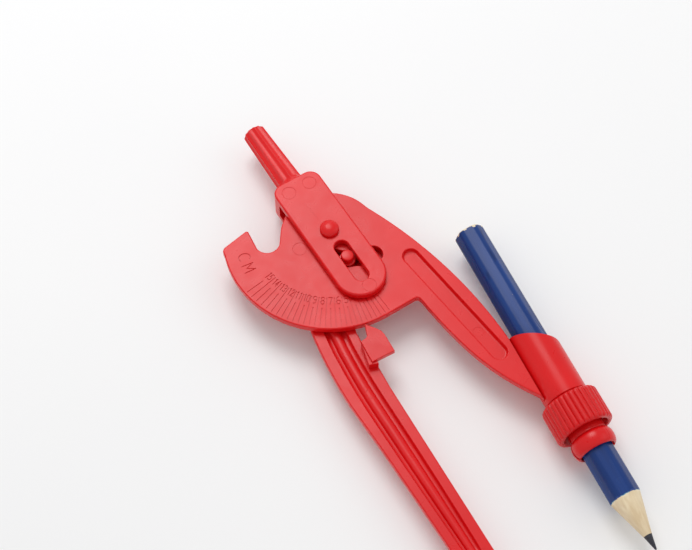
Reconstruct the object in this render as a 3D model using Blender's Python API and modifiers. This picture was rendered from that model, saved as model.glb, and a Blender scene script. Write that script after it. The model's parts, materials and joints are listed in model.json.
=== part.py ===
"""School drawing compass with a self-centring handle and a pencil in a screw-up holder.

Lengths are in millimetres until they meet MM. The origin is on the pivot axis, at the flat rear
face of the pivot rivet. +Z leaves the scale face and +Y runs from the pivot towards the grip.
Each leg is drawn in its own closed frame, with its drawing tip near the -Y line below the pivot,
and an empty on the pivot axis turns it to its rest angle.
"""
import math

import bmesh
import bpy
from mathutils import Vector

MM = 0.001
NAME = "drawing_compass"

# Layers, measured from the middle plane between the two discs
GAP = 0.3                      # running clearance between layers
DISC_T = 2.0                   # thickness of each leg's plate
PLATE_T = 1.8                  # thickness of each yoke cheek
DISC_TOP = GAP / 2 + DISC_T
YOKE_HALF = DISC_TOP + GAP + PLATE_T
REAR_HEAD = 1.5                # height of the rivet's flat rear head
MID_PLANE = YOKE_HALF + REAR_HEAD

# Legs
REST_ANGLE = 10.5              # each leg's turn from closed, in degrees
LEG_LENGTH = 106.0             # pivot to drawing tip, the radius that the scale is cut for
LOBE_R = 12.6
DISC_R = 27.4
EDGE_R = 119.0                 # gentle bow of both legs' outer edges

# Yoke and grip
YOKE_W = 6.7                   # half width
YOKE_END_Y = -14.5             # centre of the round lower end
YOKE_TOP = 18.4
YOKE_CORNER = 3.0
BRIDGE_Y = 13.9                # lower side of the solid bridge
SLOT_W = 3.9
SLOT_TOP = -4.0
SLOT_END = -17.2
GRIP_BASE_R = 3.65
GRIP_END_R = 3.1
GRIP_END = 38.8
GRIP_FLUTES = 12

# Pivot rivet and guide pin
SHANK_R = 1.6
HOLE_R = 1.9
HEAD_R = 2.45
HEAD_H = 1.7
PIN_Y = -8.6                   # guide pin at rest
PIN_R = 1.65
PIN_BODY_R = 2.1
PIN_PER_DEG = 0.075            # pin travel for each degree that a leg turns
CAM_W = 2.4                    # half width of the slots in the discs

# Recesses in the legs' faces
POCKET_D = 1.3
GROOVE_D = 1.2
RIDGE = 0.8                    # half width of the ridge between the point leg's two grooves

# Pencil holder, measured along the pencil's axis from the foot of the pivot's perpendicular
TILT = 17.5                    # pencil axis against the leg's tip line
FOOT = 33.2                    # pivot to the pencil's axis
BARREL_R = 5.6
BORE_R = 4.4
BARREL_S = 43.0
MOUTH_S = 45.8                 # the barrel's upper end is cut at a slant from here
MOUTH_SLOPE = 29.2
BARREL_END = 65.8
SLIT = 0.7                     # one slit parts the jaws in two
SLIT_S = 68.0
THREAD_R = 5.05
THREAD_END = 73.2
NECK_R = 4.75                  # run-out between the thread and the bulb
BULB_R = 5.6
BULB_S = 75.4
BULB_END = 80.8
NOSE_R = 4.75
WEB_LINE = 5.7                 # distance from the pencil axis to the arm's thick edge
IN_WALL = 5.0                  # the arm's thin web ends here, inside the barrel's wall

# Clamp nut
NUT_S = 66.2
NUT_L = 9.0
NUT_R = 7.4
NUT_BORE = 5.3
NUT_CAVITY_R = 6.0
NUT_RIBS = 32
RIB_H = 0.42

# Pencil
PENCIL_AF = 7.4                # across flats
PENCIL_EDGE_R = 2.0            # rounding of the six edges
PENCIL_CORNER = (PENCIL_AF / 2 - PENCIL_EDGE_R) / math.cos(math.radians(30)) + PENCIL_EDGE_R
PENCIL_TOP = 14.0
TIP_S = 107.7
CONE_L = 14.4                  # sharpened length, from the six edges to the point
HEX_TURN = 13.0                # an edge's angle round the pencil's axis
LEAD_R = 1.05
LEAD_FLAT_R = 0.25             # the worn point
LEAD_GAP = 0.05
SLAT_GAP = 0.05

THROUGH = 7.0                  # half length of the cutters that pass right through the compass


def clear_scene():
    for obj in list(bpy.data.objects):
        bpy.data.objects.remove(obj, do_unlink=True)


def new_collection(name):
    col = bpy.data.collections.new(name)
    bpy.context.scene.collection.children.link(col)
    return col


def material(name, colour, roughness):
    mat = bpy.data.materials.new(name)
    mat.use_nodes = True
    shader = mat.node_tree.nodes["Principled BSDF"]
    shader.inputs["Base Color"].default_value = (*colour, 1.0)
    shader.inputs["Roughness"].default_value = roughness
    shader.inputs["Metallic"].default_value = 0.0
    return mat


def empty(name, parent=None, location=(0, 0, 0), turn=(0, 0, 0)):
    obj = bpy.data.objects.new(name, None)
    obj.empty_display_size = 0.01
    obj.parent = parent
    obj.location = Vector(location) * MM
    obj.rotation_euler = [math.radians(a) for a in turn]
    bpy.context.scene.collection.objects.link(obj)
    return obj


# ---------------------------------------------------------------- shapes

def arc(cx, cy, radius, start, end, step=4.0):
    """Points along an arc, angles in degrees, both ends included."""
    count = max(2, int(abs(end - start) / step) + 1)
    points = []
    for i in range(count + 1):
        a = math.radians(start + (end - start) * i / count)
        points.append((cx + radius * math.cos(a), cy + radius * math.sin(a)))
    return points


def solid_from_mesh(name, mesh, parent, mat=None, cutter=False):
    obj = bpy.data.objects.new(name, mesh)
    col = CUTTERS if cutter else PARTS
    col.objects.link(obj)
    obj.parent = parent
    if mat:
        mesh.materials.append(mat)
    if cutter:
        obj.hide_render = True
        obj.display_type = 'WIRE'
    return obj


def plate(name, points, bottom, top, parent, mat=None, cutter=False):
    """A flat outline as a filled 2D curve, made a mesh."""
    curve = bpy.data.curves.new(name, 'CURVE')
    curve.dimensions = '2D'
    curve.fill_mode = 'BOTH'
    curve.extrude = (top - bottom) / 2 * MM
    spline = curve.splines.new('POLY')
    spline.points.add(len(points) - 1)
    for p, (x, y) in zip(spline.points, points):
        p.co = (x * MM, y * MM, 0, 1)
    spline.use_cyclic_u = True
    flat = bpy.data.objects.new(name + "_curve", curve)
    bpy.context.scene.collection.objects.link(flat)
    depsgraph = bpy.context.evaluated_depsgraph_get()
    mesh = bpy.data.meshes.new_from_object(flat.evaluated_get(depsgraph))
    bpy.data.objects.remove(flat)
    bpy.data.curves.remove(curve)
    bm = bmesh.new()
    bm.from_mesh(mesh)
    bmesh.ops.remove_doubles(bm, verts=bm.verts, dist=1e-6)
    bmesh.ops.recalc_face_normals(bm, faces=bm.faces)
    bmesh.ops.translate(bm, verts=bm.verts, vec=(0, 0, (top + bottom) / 2 * MM))
    bm.to_mesh(mesh)
    bm.free()
    mesh.name = name
    return solid_from_mesh(name, mesh, parent, mat, cutter)


def box(name, low, high, parent, cutter=False):
    mesh = bpy.data.meshes.new(name)
    bm = bmesh.new()
    bmesh.ops.create_cube(bm, size=1.0)
    for v in bm.verts:
        for k in range(3):
            v.co[k] = (low[k] + high[k]) / 2 * MM + v.co[k] * (high[k] - low[k]) * MM
    bm.to_mesh(mesh)
    bm.free()
    return solid_from_mesh(name, mesh, parent, cutter=cutter)


def rod(name, radius, bottom, top, parent, cutter=False, segments=32, top_radius=None):
    """A round bar along the parent's Z axis."""
    mesh = bpy.data.meshes.new(name)
    bm = bmesh.new()
    second = radius if top_radius is None else top_radius
    bmesh.ops.create_cone(bm, cap_ends=True, segments=segments, radius1=radius * MM,
                          radius2=second * MM, depth=(top - bottom) * MM)
    bmesh.ops.translate(bm, verts=bm.verts, vec=(0, 0, (top + bottom) / 2 * MM))
    bm.to_mesh(mesh)
    bm.free()
    return solid_from_mesh(name, mesh, parent, cutter=cutter)


def turned(name, profile, parent, mat=None, cutter=False, steps=48):
    """A turned solid: profile of (radius, z) from its top end to its bottom end, on the Z axis."""
    mesh = bpy.data.meshes.new(name)
    bm = bmesh.new()
    verts = [bm.verts.new((r * MM, 0, z * MM)) for r, z in profile]
    for a, b in zip(verts, verts[1:]):
        bm.edges.new((a, b))
    if profile[0][0] > 0:
        bm.edges.new((verts[-1], verts[0]))
    bm.to_mesh(mesh)
    bm.free()
    obj = solid_from_mesh(name, mesh, parent, mat, cutter)
    screw = obj.modifiers.new("turn", 'SCREW')
    screw.axis = 'Z'
    screw.steps = steps
    screw.render_steps = steps
    screw.use_merge_vertices = True
    screw.merge_threshold = 0.00001
    screw.use_smooth_shade = False
    return obj


def boolean(obj, tool, kind='DIFFERENCE'):
    mod = obj.modifiers.new(tool.name, 'BOOLEAN')
    mod.operation = kind
    mod.solver = 'EXACT'
    mod.object = tool


def stadium(x0, y0, x1, y1, radius, step=15.0):
    """Outline of a round-ended slot from one end centre to the other."""
    heading = math.degrees(math.atan2(y1 - y0, x1 - x0))
    far = arc(x1, y1, radius, heading - 90, heading + 90, step)
    return far + arc(x0, y0, radius, heading + 90, heading + 270, step)


def band(line, half):
    """Outline of a round-ended band of constant half width along a line."""
    left, right = [], []
    for i, (x, y) in enumerate(line):
        ax, ay = line[max(i - 1, 0)]
        bx, by = line[min(i + 1, len(line) - 1)]
        length = math.hypot(bx - ax, by - ay)
        nx, ny = -(by - ay) / length * half, (bx - ax) / length * half
        left.append((x + nx, y + ny))
        right.append((x - nx, y - ny))

    def cap(centre, start):
        a = math.degrees(math.atan2(start[1] - centre[1], start[0] - centre[0]))
        return arc(centre[0], centre[1], half, a, a - 180, 20)[1:-1]
    return left + cap(line[-1], left[-1]) + right[::-1] + cap(line[0], right[0])


def loft(name, loops, parent, mat=None, cutter=False, ring=False):
    """A solid through a row of loops of points; a ring joins its last loop to its first."""
    bm = bmesh.new()
    rows = [[bm.verts.new(Vector(p) * MM) for p in loop] for loop in loops]
    pairs = list(zip(rows, rows[1:]))
    if ring:
        pairs.append((rows[-1], rows[0]))
    for a, b in pairs:
        for j in range(len(a)):
            k = (j + 1) % len(a)
            bm.faces.new((a[j], a[k], b[k], b[j]))
    if not ring:
        bm.faces.new(rows[0][::-1])
        bm.faces.new(rows[-1])
    if cutter:
        bmesh.ops.triangulate(bm, faces=bm.faces)
    bmesh.ops.recalc_face_normals(bm, faces=bm.faces)
    mesh = bpy.data.meshes.new(name)
    bm.to_mesh(mesh)
    bm.free()
    return solid_from_mesh(name, mesh, parent, mat, cutter)


def cam_slot(mirror):
    """Slot in a disc for the guide pin: its radius falls evenly as the leg opens."""
    first, last, count = -143.0, -70.5, 24
    spread = 0.095             # extra radius per degree past straight down, clear of the pin
    line = []
    for i in range(count + 1):
        angle = first + (last - first) * i / count
        r = -PIN_Y + PIN_PER_DEG * (90 + REST_ANGLE + angle) + spread * max(0.0, angle + 90)
        a = math.radians(angle)
        line.append((mirror * r * math.cos(a), r * math.sin(a)))
    return band(line, CAM_W)


# ---------------------------------------------------------------- yoke, rivet and pin

def yoke(parent, mat):
    w = YOKE_W
    c = YOKE_CORNER
    outline = arc(0, YOKE_END_Y, w, 180, 360, 7.5)
    outline += arc(w - c, YOKE_TOP - c, c, 0, 90, 15)
    outline += arc(c - w, YOKE_TOP - c, c, 90, 180, 15)
    body = plate("yoke", outline, -YOKE_HALF, YOKE_HALF, parent, mat)
    gap = DISC_TOP + GAP
    boolean(body, box("cut_clevis", (-9, -30, -gap), (9, BRIDGE_Y, gap), parent, True))
    slot = stadium(0, SLOT_TOP - SLOT_W / 2, 0, SLOT_END + SLOT_W / 2, SLOT_W / 2)
    boolean(body, plate("cut_slot", slot, -THROUGH, THROUGH, parent, cutter=True))
    boolean(body, rod("cut_pivot", HOLE_R, -THROUGH, THROUGH, parent, True))
    boolean(body, grip(parent), 'UNION')
    return body


def grip(parent):
    """Fluted, tapered handle along +Y, rooted in the bridge."""
    root = 2.0
    flute_depth = 0.06         # as a share of the radius
    axis = empty("grip_axis", parent, (0, YOKE_TOP - root, 0), (-90, 0, 0))
    bar = rod("add_grip", GRIP_BASE_R, 0, GRIP_END - YOKE_TOP + root, axis, True,
              segments=GRIP_FLUTES * 6, top_radius=GRIP_END_R)
    for v in bar.data.vertices:
        phase = GRIP_FLUTES * math.atan2(v.co.y, v.co.x)
        scale = 1 - flute_depth * (0.5 - 0.5 * math.cos(phase))
        v.co.x *= scale
        v.co.y *= scale
    return bar


def rivet(parent, mat):
    """Pivot rivet: domed front head, plain shank, flat rear head."""
    clear = 0.2
    front = YOKE_HALF + clear
    dome = []
    for i in range(8):
        a = math.radians(80 - 10 * i)
        dome.append((HEAD_R * math.cos(a), front + HEAD_H * math.sin(a)))
    profile = [(0, dome[0][1])] + dome + [(HEAD_R, front), (SHANK_R, front), (SHANK_R, -front)]
    profile += [(HEAD_R, -front), (HEAD_R, 0.3 - MID_PLANE), (HEAD_R - 0.3, -MID_PLANE), (0, -MID_PLANE)]
    return turned("pivot_rivet", profile, parent, mat, steps=36)


def guide_pin(parent, mat):
    """Stepped pin: the thick middle runs in the discs and the thin ends in the yoke's slots."""
    top = YOKE_HALF - 0.1
    half = [(0, top), (PIN_R - 0.3, top), (PIN_R, top - 0.3), (PIN_R, DISC_TOP), (PIN_BODY_R, DISC_TOP)]
    profile = half + [(r, -z) for r, z in half[::-1]]
    pin = turned("guide_pin", profile, parent, mat, steps=28)
    pin.location = (0, PIN_Y * MM, 0)
    return pin


# ---------------------------------------------------------------- pencil leg

def holder_point(across, along):
    """A point in the leg's frame, from its place across and along the pencil axis."""
    a = math.radians(TILT)
    x = (FOOT + across) * math.cos(a) - along * math.sin(a)
    y = -(FOOT + across) * math.sin(a) - along * math.cos(a)
    return x, y


def holder_strip(outer, inner, start, end):
    """Outline of a strip beside the holder, between two distances from the pencil axis."""
    return [holder_point(-outer, start), holder_point(-outer, end), holder_point(-inner, end),
            holder_point(-inner, start)]


def pencil_leg_outline():
    """Graduated half disc with its finger notch, the lobe round the pivot and the arm."""
    bottom, inner, fillet = -28.3, 4.1, 1.1        # where the disc's rim turns into the arm
    points = arc(0, 0, DISC_R, -98, -209, 3)
    points += arc(-22.2, 13.6, 1.6, 150, 90, 20)
    points += arc(-15.5, 14.6, 0.6, 90, 0, 30)
    points += arc(-13.3, 9.1, 3.2, 176, 320, 12)
    points += arc(0, 0, LOBE_R, 136, 4, 4)
    points += arc(15.4 - EDGE_R, -26.0, EDGE_R, 12.2, -12.2, 2)
    points += [holder_point(-IN_WALL, 46.5), holder_point(-IN_WALL, 64.0), holder_point(-WEB_LINE, 64.0)]
    points += arc(65.0, -46.0, 62.0, 201.0, 180, 2)
    points += arc(120.0, -46.0, 117.0, 179, 172.2, 2)
    points += arc(inner - fillet, bottom - fillet, fillet, 0, 90, 20)
    return points


def collet(parent):
    """Barrel, threaded jaws and their round nose, as one turned tube."""
    nose = []
    for i in range(7):
        a = math.radians(90 * i / 6)
        r = NOSE_R + (BULB_R - NOSE_R) * math.cos(a)
        nose.append((r, BULB_S + 1.0 + (BULB_END - BULB_S - 1.0) * math.sin(a)))
    outer = nose[::-1] + [(BULB_R - 0.15, BULB_S), (NECK_R, BULB_S), (NECK_R, THREAD_END + 0.3)]
    outer += [(THREAD_R, THREAD_END), (THREAD_R, BARREL_END), (BARREL_R, BARREL_END), (BARREL_R, BARREL_S)]
    bore = [(BORE_R, BARREL_S), (BORE_R, BULB_END)]
    tube = turned("add_barrel", outer + bore, parent, cutter=True)
    mouth = empty("mouth", parent, (-BARREL_R, 0, MOUTH_S), (0, -MOUTH_SLOPE, 0))
    boolean(tube, box("cut_mouth", (-3, -8, -20), (20, 8, 0), mouth, True))
    return tube


def pencil_leg(parent, holder, mat):
    """Leg with the scale disc, whose arm carries the holder."""
    low, high = GAP / 2, DISC_TOP
    leg = plate("pencil_leg", pencil_leg_outline(), low, high, parent, mat)
    boolean(leg, plate("cut_cam_a", cam_slot(1), low - 1, high + 1, parent, cutter=True))
    boolean(leg, rod("cut_pivot_a", HOLE_R, low - 1, high + 1, parent, True))
    pocket = stadium(10.9, -18.9, 8.1, -53.0, 2.2)
    boolean(leg, plate("cut_pocket", pocket, high - POCKET_D, high + 1, parent, cutter=True))
    groove = holder_strip(WEB_LINE, 2.0, BARREL_S, 65.0)
    boolean(leg, plate("cut_groove", groove, high - POCKET_D, high + 1, parent, cutter=True))
    web = holder_strip(7.3, IN_WALL, 51.5, 59.5)
    boolean(leg, plate("add_web", web, -1.6, low + 0.3, parent, cutter=True), 'UNION')
    boolean(leg, collet(holder), 'UNION')
    boolean(leg, box("cut_slit", (-8, -SLIT / 2, SLIT_S), (8, SLIT / 2, BULB_END + 2), holder, True))
    return leg


# ---------------------------------------------------------------- point leg

def point_leg_outline():
    """Lobe round the pivot and a bowed arm that ends square, where the tip takes over."""
    points = arc(0, 0, LOBE_R, -15, 197, 4)
    points += arc(EDGE_R - 14.0, -26.0, EDGE_R, 169.5, 189.5, 2)
    points += [(-8.8, -62.5), (-4.0, -90.0), (-2.6, -98.0), (5.9, -98.0), (5.0, -91.4)]
    points += [(-1.5, -44.4), (-2.1, -38.0), (-3.3, -31.8), (-3.6, -27.5)]
    points += arc(0, 0, 18.0, -95, -50, 5)
    return points


# Middle line of the point leg's channel and its half width there
CHANNEL = ((-8.7, -22.0, 2.6), (-8.4, -31.0, 2.6), (-7.35, -42.0, 2.6), (-5.5, -54.0, 2.6),
           (-2.6, -72.0, 2.3), (0.4, -91.0, 1.9))


def channel_cutter(face, parent):
    """Swept cutter for the leg's shallow channel: two grooves with a low ridge between them."""
    wall, slope = 0.3, 0.35
    loops = []
    for i, (x, y, half) in enumerate(CHANNEL):
        ax, ay = CHANNEL[max(i - 1, 0)][:2]
        bx, by = CHANNEL[min(i + 1, len(CHANNEL) - 1)][:2]
        length = math.hypot(bx - ax, by - ay)
        side = [(half, 1.0), (half, -wall), (half - slope, -GROOVE_D), (RIDGE + 0.3, -GROOVE_D),
                (RIDGE, -wall)]
        section = side + [(-n, z) for n, z in side[::-1]]
        loops.append([(x - n * (by - ay) / length, y + n * (bx - ax) / length, face + z)
                      for n, z in section])
    return loft("cut_channel", loops, parent, cutter=True)


def tip_block(parent):
    """Ogive tip: rounded sections that shrink along the leg to the drawing point."""
    rings, around = 9, 20
    half_width, half_height, blunt = 4.4, 1.3, 0.15
    boxiness = 0.6             # 1 is an ellipse, 0 a rectangle
    skew = -0.09               # keeps the sections square to the leg's lower end
    start, end = Vector((1.7, -97.6, -0.75)), Vector((0.0, -LEG_LENGTH, -0.75))
    loops = []
    for i in range(rings):
        t = i / (rings - 1)
        centre = start.lerp(end, t)
        width = half_width * (1 - t ** 1.7) + blunt
        height = half_height * (1 - t ** 2.2) + blunt
        loop = []
        for j in range(around):
            a = 2 * math.pi * j / around
            c, s = math.cos(a), math.sin(a)
            x = math.copysign(abs(c) ** boxiness, c) * width
            z = math.copysign(abs(s) ** boxiness, s) * height
            loop.append(centre + Vector((x, skew * x, z)))
        loops.append(loop)
    return loft("add_tip", loops, parent, cutter=True)


def pointer(parent):
    """Raised tab whose corner reads the scale at the rim of the other leg's disc."""
    top = DISC_TOP + 0.6
    tab = [(-1.4, -27.75), (0.6, -29.6), (1.7, -30.9), (2.1, -32.1), (2.7, -37.2), (-3.6, -38.0)]
    tab += [(-4.1, -31.8), (-2.6, -31.4), (-2.1, -30.9)]
    foot = [(-4.1, -31.8), (-3.0, -31.6), (-2.1, -38.6), (-4.6, -38.2)]
    plate_tab = plate("add_tab", tab, top - 1.5, top, parent, cutter=True)
    plate_foot = plate("add_tab_foot", foot, -1.4, top - 0.7, parent, cutter=True)
    return plate_tab, plate_foot


def point_leg(parent, mat):
    low, high = -DISC_TOP, -GAP / 2
    leg = plate("point_leg", point_leg_outline(), low, high, parent, mat)
    boolean(leg, plate("cut_cam_b", cam_slot(-1), low - 1, high + 1, parent, cutter=True))
    boolean(leg, rod("cut_pivot_b", HOLE_R, low - 1, high + 1, parent, True))
    boolean(leg, channel_cutter(high, parent))
    boolean(leg, tip_block(parent), 'UNION')
    for piece in pointer(parent):
        boolean(leg, piece, 'UNION')
    return leg


# ---------------------------------------------------------------- clamp nut

def clamp_nut(parent, mat):
    """Ribbed nut that squeezes the holder's jaws; a turned blank with ribs pressed into its skin."""
    end = NUT_S + NUT_L
    profile = [(NUT_BORE, NUT_S), (NUT_R - 0.8, NUT_S), (NUT_R, NUT_S + 0.7), (NUT_R, end - 0.5)]
    profile += [(NUT_R - 0.45, end), (NUT_CAVITY_R, end), (NUT_CAVITY_R, end - 2.4), (NUT_BORE, end - 2.8)]
    around = NUT_RIBS * 4
    loops = []
    for r, z in profile:
        loop = []
        for j in range(around):
            a = 2 * math.pi * j / around
            valley = r == NUT_R and j % 4 in (2, 3)
            radius = r - RIB_H if valley else r
            loop.append((radius * math.cos(a), radius * math.sin(a), z))
        loops.append(loop)
    return loft("clamp_nut", loops, parent, mat, ring=True)


# ---------------------------------------------------------------- pencil

def casing_outline():
    """The pencil's section: a hexagon with round edges."""
    centre = PENCIL_CORNER - PENCIL_EDGE_R
    points = []
    for k in range(6):
        a = math.radians(60 * k)
        x, y = centre * math.cos(a), centre * math.sin(a)
        points += arc(x, y, PENCIL_EDGE_R, 60 * k - 30, 60 * k + 30, 20)
    return points


def slat(name, side, holder, mat):
    """One of the two glued halves of the pencil's hexagonal casing, sharpened at its lower end."""
    seam = empty("seam_" + name, holder, turn=(0, 0, HEX_TURN))
    half = plate(name, casing_outline(), PENCIL_TOP, TIP_S, seam, mat)
    wide = 1.2                 # the cone's blank is wider than the casing
    base = PENCIL_CORNER * wide
    cone_s = TIP_S - CONE_L * wide
    point = [(0, TIP_S), (base, cone_s), (base, PENCIL_TOP - 1), (0, PENCIL_TOP - 1)]
    boolean(half, turned("keep_point_" + name, point, seam, cutter=True), 'INTERSECT')
    boolean(half, rod("cut_lead_" + name, LEAD_R + LEAD_GAP, PENCIL_TOP - 2, TIP_S + 1, seam, True))
    low, high = (-9, SLAT_GAP / 2) if side > 0 else (-SLAT_GAP / 2, 9)
    boolean(half, box("cut_half_" + name, (-9, low, PENCIL_TOP - 3), (9, high, TIP_S + 2), seam, True))
    return half


def lead(holder, mat):
    """Graphite rod, turned to the pencil's point."""
    cone_s = TIP_S - CONE_L * LEAD_R / PENCIL_CORNER
    profile = [(0, TIP_S), (LEAD_FLAT_R, TIP_S), (LEAD_R, cone_s), (LEAD_R, PENCIL_TOP), (0, PENCIL_TOP)]
    return turned("pencil_lead", profile, holder, mat, steps=24)


# ---------------------------------------------------------------- assembly

def main():
    """Hangs every piece on its own axis and builds it."""
    front = material("red_gloss", (0.72, 0.02, 0.03), 0.28)
    leg_red = material("red_leg", (0.62, 0.015, 0.02), 0.3)
    lacquer = material("blue_lacquer", (0.015, 0.05, 0.28), 0.3)
    graphite = material("graphite", (0.06, 0.06, 0.07), 0.45)
    middle = empty("middle_plane", location=(0, 0, MID_PLANE))
    yoke(middle, front)
    rivet(middle, front)
    guide_pin(middle, front)
    pencil_axis = empty("pencil_leg_axis", middle, turn=(0, 0, REST_ANGLE))
    point_axis = empty("point_leg_axis", middle, turn=(0, 0, -REST_ANGLE))
    foot = (FOOT * math.cos(math.radians(TILT)), -FOOT * math.sin(math.radians(TILT)), 0)
    holder = empty("holder_axis", pencil_axis, foot, (90, 0, -TILT))
    pencil_leg(pencil_axis, holder, leg_red)
    point_leg(point_axis, leg_red)
    clamp_nut(holder, leg_red)
    slat("pencil_slat_upper", 1, holder, lacquer)
    slat("pencil_slat_lower", -1, holder, lacquer)
    lead(holder, graphite)


clear_scene()
PARTS = new_collection(NAME)
CUTTERS = new_collection(NAME + "_cutters")
main()
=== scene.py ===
"""Looks of the school drawing compass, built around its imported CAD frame.

Shapes are drawn in millimetres in the frame of the CAD body that they ride on, and turned to
metres when they become objects. Each leg is drawn in its own closed frame: pivot at the origin,
drawing tip near the -Y line below it. The holder's frame has its Z axis along the pencil.
"""
import json
import math

import bmesh
import bpy
from mathutils import Matrix, Vector


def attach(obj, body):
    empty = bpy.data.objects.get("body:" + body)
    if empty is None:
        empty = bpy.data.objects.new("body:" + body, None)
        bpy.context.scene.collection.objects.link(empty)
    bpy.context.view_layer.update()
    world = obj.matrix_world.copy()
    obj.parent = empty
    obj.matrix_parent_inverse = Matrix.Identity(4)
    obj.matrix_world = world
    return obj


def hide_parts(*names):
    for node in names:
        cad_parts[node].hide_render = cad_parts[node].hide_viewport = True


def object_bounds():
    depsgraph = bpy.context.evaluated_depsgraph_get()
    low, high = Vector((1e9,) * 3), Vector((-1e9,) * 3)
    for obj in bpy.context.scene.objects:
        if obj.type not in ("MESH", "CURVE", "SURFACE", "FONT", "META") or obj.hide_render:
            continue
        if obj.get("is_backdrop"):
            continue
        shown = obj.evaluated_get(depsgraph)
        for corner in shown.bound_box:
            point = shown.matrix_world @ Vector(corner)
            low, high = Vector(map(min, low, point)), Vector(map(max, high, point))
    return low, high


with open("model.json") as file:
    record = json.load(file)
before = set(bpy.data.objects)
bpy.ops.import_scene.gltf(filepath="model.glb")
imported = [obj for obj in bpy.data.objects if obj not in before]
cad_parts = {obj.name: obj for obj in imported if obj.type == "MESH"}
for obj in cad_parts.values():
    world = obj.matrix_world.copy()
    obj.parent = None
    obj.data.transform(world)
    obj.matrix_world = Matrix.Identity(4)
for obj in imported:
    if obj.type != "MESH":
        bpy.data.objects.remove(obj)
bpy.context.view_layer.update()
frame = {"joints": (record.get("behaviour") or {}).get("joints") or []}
MM = 0.001

# ---------------------------------------------------------------- driving dimensions, in millimetres

GAP = 0.3
DISC_T = 2.0
PLATE_T = 1.8
DISC_TOP = GAP / 2 + DISC_T
YOKE_HALF = DISC_TOP + GAP + PLATE_T

LEG_LENGTH = 106.0             # pivot to drawing tip
LOBE_R = 12.6
POCKET_D = 1.2                 # depth of the recess in the pencil leg
DISC_R = 27.4
EDGE_R = 119.0

YOKE_W = 6.7
YOKE_END_Y = -14.5
YOKE_TOP = 18.4
BRIDGE_Y = 13.9
SLOT_R = 1.95
SLOT_TOP = -4.0
SLOT_END = -17.2
GRIP_BASE_R = 3.65
GRIP_END_R = 3.1
GRIP_END = 38.8
FLUTES = 12

PIN_R = 1.65
PIN_BODY_R = 2.1
PIN_REST = 8.6                 # guide pin's distance from the pivot at rest
PIN_PER_DEG = 0.075            # and how fast it falls as a leg opens
CAM_W = 2.4
HOLE_R = 1.9                   # pivot hole in the yoke and both legs
SHANK_R = 1.6
HEAD_R = 2.45

TILT = 17.5                    # pencil axis against the leg's tip line
FOOT = 33.2                    # pivot to the pencil's axis
BARREL_R = 5.6
BORE_R = 4.4
BARREL_S = 43.0
MOUTH_S = 45.8                 # where the slanted mouth starts, on the side of the leg
MOUTH_SLOPE = 29.2
BARREL_END = 65.8
THREAD_R = 5.05
THREAD_PITCH = 1.25
SLIT = 0.7
SLIT_S = 68.0
BULB_R = 5.6
BULB_S = 75.4
BULB_END = 80.8
NOSE_R = 4.6
WEB_LINE = 5.7
IN_WALL = 5.0

NUT_S = 66.2
NUT_L = 9.0
NUT_R = 7.4
NUT_RIBS = 32

PENCIL_AF = 7.4
PENCIL_EDGE_R = 2.0
PENCIL_CORNER = (PENCIL_AF / 2 - PENCIL_EDGE_R) / math.cos(math.radians(30)) + PENCIL_EDGE_R
PENCIL_TOP = 14.0
TIP_S = 107.7
CONE_L = 14.4
HEX_TURN = 13.0
LEAD_R = 1.05

# ---------------------------------------------------------------- frames, taken from the CAD joints

JOINTS = {j["name"]: j for j in frame["joints"]}
PIVOT = Vector(JOINTS["pencil_leg_hinge"]["pos_m"])
HOLDER_POS = Vector(JOINTS["clamp_nut_turn"]["pos_m"])
HOLDER_DIR = Vector(JOINTS["clamp_nut_turn"]["axis"])
REST_ANGLE = math.degrees(math.atan2(HOLDER_DIR.x, -HOLDER_DIR.y)) + TILT


def turn(degrees, axis):
    return Matrix.Rotation(math.radians(degrees), 4, axis)


MIDDLE = Matrix.Translation(PIVOT)
PENCIL_LEG = MIDDLE @ turn(REST_ANGLE, 'Z')
POINT_LEG = MIDDLE @ turn(-REST_ANGLE, 'Z')
FOOT_POINT = Vector((FOOT * math.cos(math.radians(TILT)), -FOOT * math.sin(math.radians(TILT)), 0))
HOLDER_IN_LEG = Matrix.Translation(FOOT_POINT) @ turn(-TILT, 'Z') @ turn(90, 'X')
HOLDER = Matrix.Translation(HOLDER_POS) @ turn(REST_ANGLE - TILT, 'Z') @ turn(90, 'X')


# ---------------------------------------------------------------- outlines

def arc(cx, cy, radius, start, end, step=3.0):
    """Points along an arc, angles in degrees, both ends included."""
    count = max(2, int(abs(end - start) / step) + 1)
    points = []
    for i in range(count + 1):
        a = math.radians(start + (end - start) * i / count)
        points.append((cx + radius * math.cos(a), cy + radius * math.sin(a)))
    return points


def stadium(x0, y0, x1, y1, radius, step=9.0):
    heading = math.degrees(math.atan2(y1 - y0, x1 - x0))
    far = arc(x1, y1, radius, heading - 90, heading + 90, step)
    return far + arc(x0, y0, radius, heading + 90, heading + 270, step)


def holder_point(across, along):
    """A point in the pencil leg's frame, from its place across and along the pencil axis."""
    a = math.radians(TILT)
    x = (FOOT + across) * math.cos(a) - along * math.sin(a)
    y = -(FOOT + across) * math.sin(a) - along * math.cos(a)
    return x, y


def counter_clockwise(points):
    area = 0.0
    for (ax, ay), (bx, by) in zip(points, points[1:] + points[:1]):
        area += ax * by - bx * ay
    return points if area > 0 else points[::-1]


def offset(points, distance):
    """The outline moved outwards along its corners' bisectors."""
    moved = []
    for i, (x, y) in enumerate(points):
        ax, ay = points[i - 1]
        bx, by = points[(i + 1) % len(points)]
        before = Vector((y - ay, ax - x)).normalized()
        after = Vector((by - y, x - bx)).normalized()
        middle = (before + after).normalized()
        reach = distance / max(middle.dot(before), 0.4)
        moved.append((x + middle.x * reach, y + middle.y * reach))
    return moved


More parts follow.
